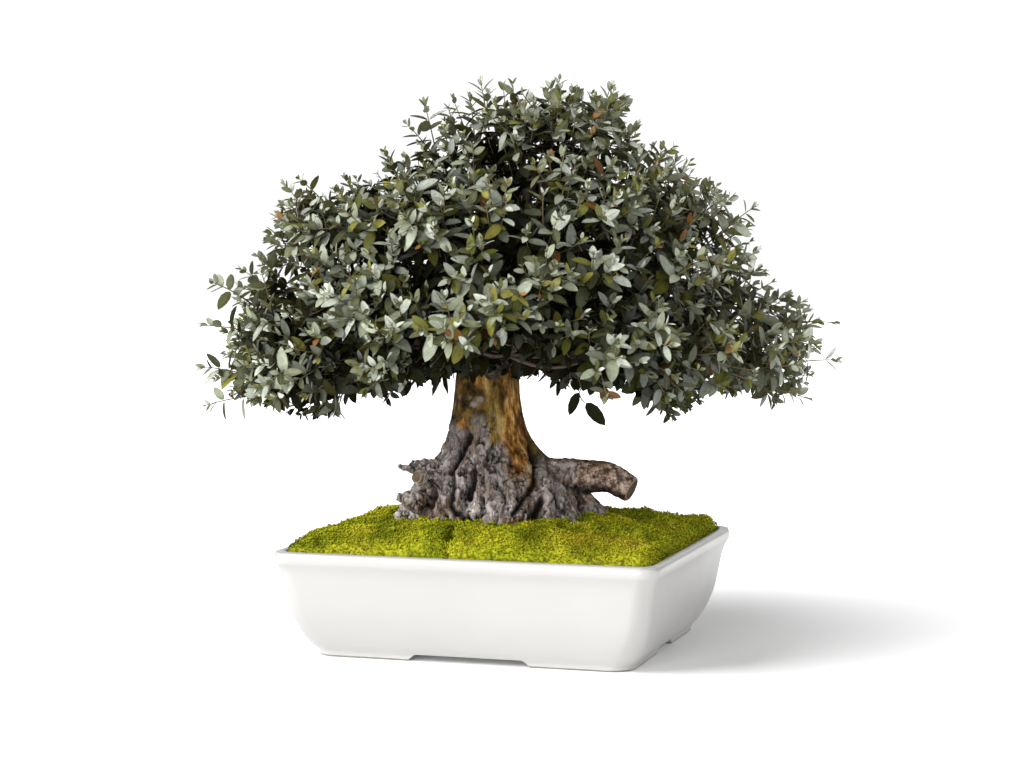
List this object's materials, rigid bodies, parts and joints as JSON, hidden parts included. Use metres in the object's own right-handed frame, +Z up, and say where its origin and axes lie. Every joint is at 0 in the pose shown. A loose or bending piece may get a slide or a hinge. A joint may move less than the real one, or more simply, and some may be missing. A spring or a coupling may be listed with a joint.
{
  "type": "potted bonsai tree",
  "caption": "Old fluted bonsai stump with a wide dome of small opposite grey-green leaves, growing out of a moss mound in a low white glazed tray with cut-out feet.",
  "frame": {"origin": "on the surface that the pot stands on, below the middle of the crown and of the pot", "axes": "+Z up, X along the pot's long side with +X to the right seen from the front, -Y out of the pot's front"},
  "size_m": [0.5706, 0.5072, 0.5352],
  "materials": {
    "glazed_ceramic": "smooth white satin glaze over stoneware",
    "netting": "plain moulded plastic mesh",
    "soil": "crumbly dark potting soil",
    "moss": "soft bright yellow-green moss cushions",
    "bark": "grey-brown furrowed bark, smoother and ochre higher up, with sawn faces",
    "leaves": "matt grey-green smooth-edged leaves"
  },
  "bodies": {
    "root": {"pot": "glazed_ceramic", "drain_net_left": "netting", "drain_net_right": "netting", "soil": "soil", "moss_front_left": "moss", "moss_front_right": "moss", "moss_right": "moss", "moss_back": "moss", "moss_left": "moss", "wood": "bark", "foliage_low_1": "leaves", "foliage_low_2": "leaves", "foliage_low_3": "leaves", "foliage_low_4": "leaves", "foliage_low_5": "leaves", "foliage_low_6": "leaves", "foliage_low_7": "leaves", "foliage_low_8": "leaves", "foliage_mid_1": "leaves", "foliage_mid_2": "leaves", "foliage_mid_3": "leaves", "foliage_mid_4": "leaves", "foliage_mid_5": "leaves", "foliage_mid_6": "leaves", "foliage_top_1": "leaves", "foliage_top_2": "leaves", "foliage_top_3": "leaves"}
  },
  "joints": []
}
